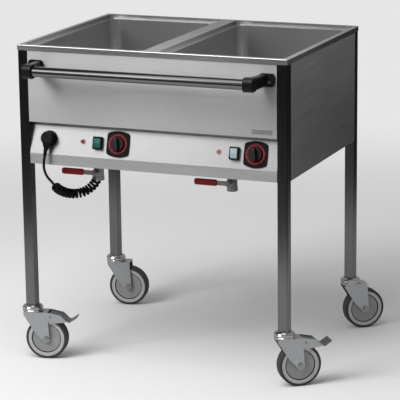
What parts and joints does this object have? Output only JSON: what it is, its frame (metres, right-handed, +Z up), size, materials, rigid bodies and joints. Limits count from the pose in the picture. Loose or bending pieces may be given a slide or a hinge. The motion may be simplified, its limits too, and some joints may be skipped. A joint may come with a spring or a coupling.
{
  "type": "bain marie",
  "caption": "Mobile stainless wet-well food warmer with covered heaters, thermostat knobs, rocker switches, lever drain valves, a push bar and swivel casters.",
  "frame": {"origin": "on the floor under the middle of the cabinet", "axes": "+X to the operator's right along the push bar, +Y from the operator to the back, +Z up"},
  "size_m": [0.8628, 0.7253, 0.86],
  "materials": {
    "stainless_top": "bright brushed stainless sheet",
    "stainless_wells": "satin stainless",
    "stainless_panels": "brushed stainless sheet",
    "stainless_cover": "plain stainless sheet",
    "stainless_control": "fine brushed stainless sheet",
    "stainless_legs": "brushed stainless tube",
    "bar_chrome": "polished tube",
    "bracket_plastic": "black moulded plastic",
    "screw_steel": "plain steel",
    "lamp_red": "red lens",
    "lamp_amber": "amber lens",
    "switch_plastic": "black moulded plastic",
    "rocker_green": "green moulded plastic",
    "rocker_pale": "pale moulded plastic",
    "dial_plastic": "black moulded plastic",
    "knob_plastic": "black moulded plastic",
    "thermostat_steel": "plated steel case",
    "shaft_steel": "turned steel",
    "element_steel": "darkened heater tube",
    "terminal_plastic": "cream moulded plastic",
    "pipe_steel": "stainless tube",
    "valve_nickel": "nickel plated",
    "stem_steel": "plated steel",
    "lever_steel": "plated steel strip",
    "sleeve_red": "red vinyl",
    "socket_plastic": "black moulded plastic",
    "plug_rubber": "black moulded rubber",
    "cord_rubber": "black rubber sheath",
    "gland_plastic": "black moulded plastic",
    "caster_chrome": "bright plated pressing",
    "fork_zinc": "zinc plated pressing",
    "axle_zinc": "zinc plated bolt",
    "wheel_plastic": "light grey moulded plastic",
    "tyre_rubber": "grey rubber",
    "pedal_zinc": "zinc plated pressing"
  },
  "bodies": {
    "cabinet": {"top_plate": "stainless_top", "well_left": "stainless_wells", "well_right": "stainless_wells", "front_panel": "stainless_panels", "side_panel_left": "stainless_panels", "side_panel_right": "stainless_panels", "back_panel": "stainless_panels", "bottom_cover": "stainless_cover", "control_panel": "stainless_control", "front_legs": "stainless_legs", "back_legs": "stainless_legs", "push_bar": "bar_chrome", "bar_brackets": "bracket_plastic", "bracket_screws": "screw_steel", "pilot_lamp_left": "lamp_red", "pilot_lamp_right": "lamp_amber", "switch_bodies": "switch_plastic", "dial_plates": "dial_plastic", "thermostats": "thermostat_steel", "heating_element_left": "element_steel", "heating_element_right": "element_steel", "terminal_block": "terminal_plastic", "drain_pipes": "pipe_steel", "valve_bodies": "valve_nickel", "parking_socket": "socket_plastic", "mains_plug": "plug_rubber", "cord_lead": "cord_rubber", "cord_coil": "cord_rubber", "cord_gland": "gland_plastic", "caster_heads": "caster_chrome"},
    "fork_front_left": {"caster_fork_front_left": "fork_zinc", "axle_front_left": "axle_zinc"},
    "roller_front_left": {"wheel_front_left": "wheel_plastic", "tyre_front_left": "tyre_rubber"},
    "pedal_left": {"brake_pedal_left": "pedal_zinc"},
    "fork_front_right": {"caster_fork_front_right": "fork_zinc", "axle_front_right": "axle_zinc"},
    "roller_front_right": {"wheel_front_right": "wheel_plastic", "tyre_front_right": "tyre_rubber"},
    "pedal_right": {"brake_pedal_right": "pedal_zinc"},
    "fork_back_left": {"caster_fork_back_left": "fork_zinc", "axle_back_left": "axle_zinc"},
    "roller_back_left": {"wheel_back_left": "wheel_plastic", "tyre_back_left": "tyre_rubber"},
    "fork_back_right": {"caster_fork_back_right": "fork_zinc", "axle_back_right": "axle_zinc"},
    "roller_back_right": {"wheel_back_right": "wheel_plastic", "tyre_back_right": "tyre_rubber"},
    "drain_left": {"valve_stem_left": "stem_steel", "valve_lever_left": "lever_steel", "lever_sleeve_left": "sleeve_red"},
    "dial_left": {"knob_left": "knob_plastic", "thermostat_shaft_left": "shaft_steel"},
    "switch_left": {"rocker_left": "rocker_green"},
    "drain_right": {"valve_stem_right": "stem_steel", "valve_lever_right": "lever_steel", "lever_sleeve_right": "sleeve_red"},
    "dial_right": {"knob_right": "knob_plastic", "thermostat_shaft_right": "shaft_steel"},
    "switch_right": {"rocker_right": "rocker_pale"}
  },
  "joints": [
    {"name": "swivel_front_left", "type": "hinge", "parent": "cabinet", "child": "fork_front_left", "pos_m": [-0.362, -0.2725, 0.131], "axis": [0, 0, 1], "continuous": true},
    {"name": "spin_front_left", "type": "hinge", "parent": "fork_front_left", "child": "roller_front_left", "pos_m": [-0.32415, -0.26445, 0.057], "axis": [0.2079, -0.9781, 0], "continuous": true},
    {"name": "brake_left", "type": "hinge", "parent": "fork_front_left", "child": "pedal_left", "pos_m": [-0.31114, -0.26169, 0.119], "axis": [-0.2079, 0.9781, 0], "range_deg": [0, 9]},
    {"name": "swivel_front_right", "type": "hinge", "parent": "cabinet", "child": "fork_front_right", "pos_m": [0.362, -0.2725, 0.131], "axis": [0, 0, 1], "continuous": true},
    {"name": "spin_front_right", "type": "hinge", "parent": "fork_front_right", "child": "roller_front_right", "pos_m": [0.39291, -0.24921, 0.057], "axis": [0.6018, -0.7986, 0], "continuous": true},
    {"name": "brake_right", "type": "hinge", "parent": "fork_front_right", "child": "pedal_right", "pos_m": [0.40353, -0.24121, 0.119], "axis": [-0.6018, 0.7986, 0], "range_deg": [0, 9]},
    {"name": "swivel_back_left", "type": "hinge", "parent": "cabinet", "child": "fork_back_left", "pos_m": [-0.362, 0.2725, 0.131], "axis": [0, 0, 1], "continuous": true},
    {"name": "spin_back_left", "type": "hinge", "parent": "fork_back_left", "child": "roller_back_left", "pos_m": [-0.32401, 0.27988, 0.057], "axis": [0.1908, -0.9816, 0], "continuous": true},
    {"name": "swivel_back_right", "type": "hinge", "parent": "cabinet", "child": "fork_back_right", "pos_m": [0.362, 0.2725, 0.131], "axis": [0, 0, 1], "continuous": true},
    {"name": "spin_back_right", "type": "hinge", "parent": "fork_back_right", "child": "roller_back_right", "pos_m": [0.3925, 0.29633, 0.057], "axis": [0.6157, -0.788, 0], "continuous": true},
    {"name": "drain_lever_left", "type": "hinge", "parent": "cabinet", "child": "drain_left", "pos_m": [-0.191, -0.196, 0.515], "axis": [0, -1, 0], "range_deg": [0, 90]},
    {"name": "thermostat_left", "type": "hinge", "parent": "cabinet", "child": "dial_left", "pos_m": [-0.0956, -0.27621, 0.60984], "axis": [0, 0.9658, -0.2593], "range_deg": [0, 270]},
    {"name": "switch_rocker_left", "type": "hinge", "parent": "cabinet", "child": "switch_left", "pos_m": [-0.1529, -0.27837, 0.60949], "axis": [-1, 0, 0], "range_deg": [0, 14]},
    {"name": "drain_lever_right", "type": "hinge", "parent": "cabinet", "child": "drain_right", "pos_m": [0.191, -0.196, 0.515], "axis": [0, -1, 0], "range_deg": [0, 90]},
    {"name": "thermostat_right", "type": "hinge", "parent": "cabinet", "child": "dial_right", "pos_m": [0.2876, -0.27621, 0.60984], "axis": [0, 0.9658, -0.2593], "range_deg": [0, 270]},
    {"name": "switch_rocker_right", "type": "hinge", "parent": "cabinet", "child": "switch_right", "pos_m": [0.2303, -0.27837, 0.60949], "axis": [-1, 0, 0], "range_deg": [0, 14]}
  ]
}
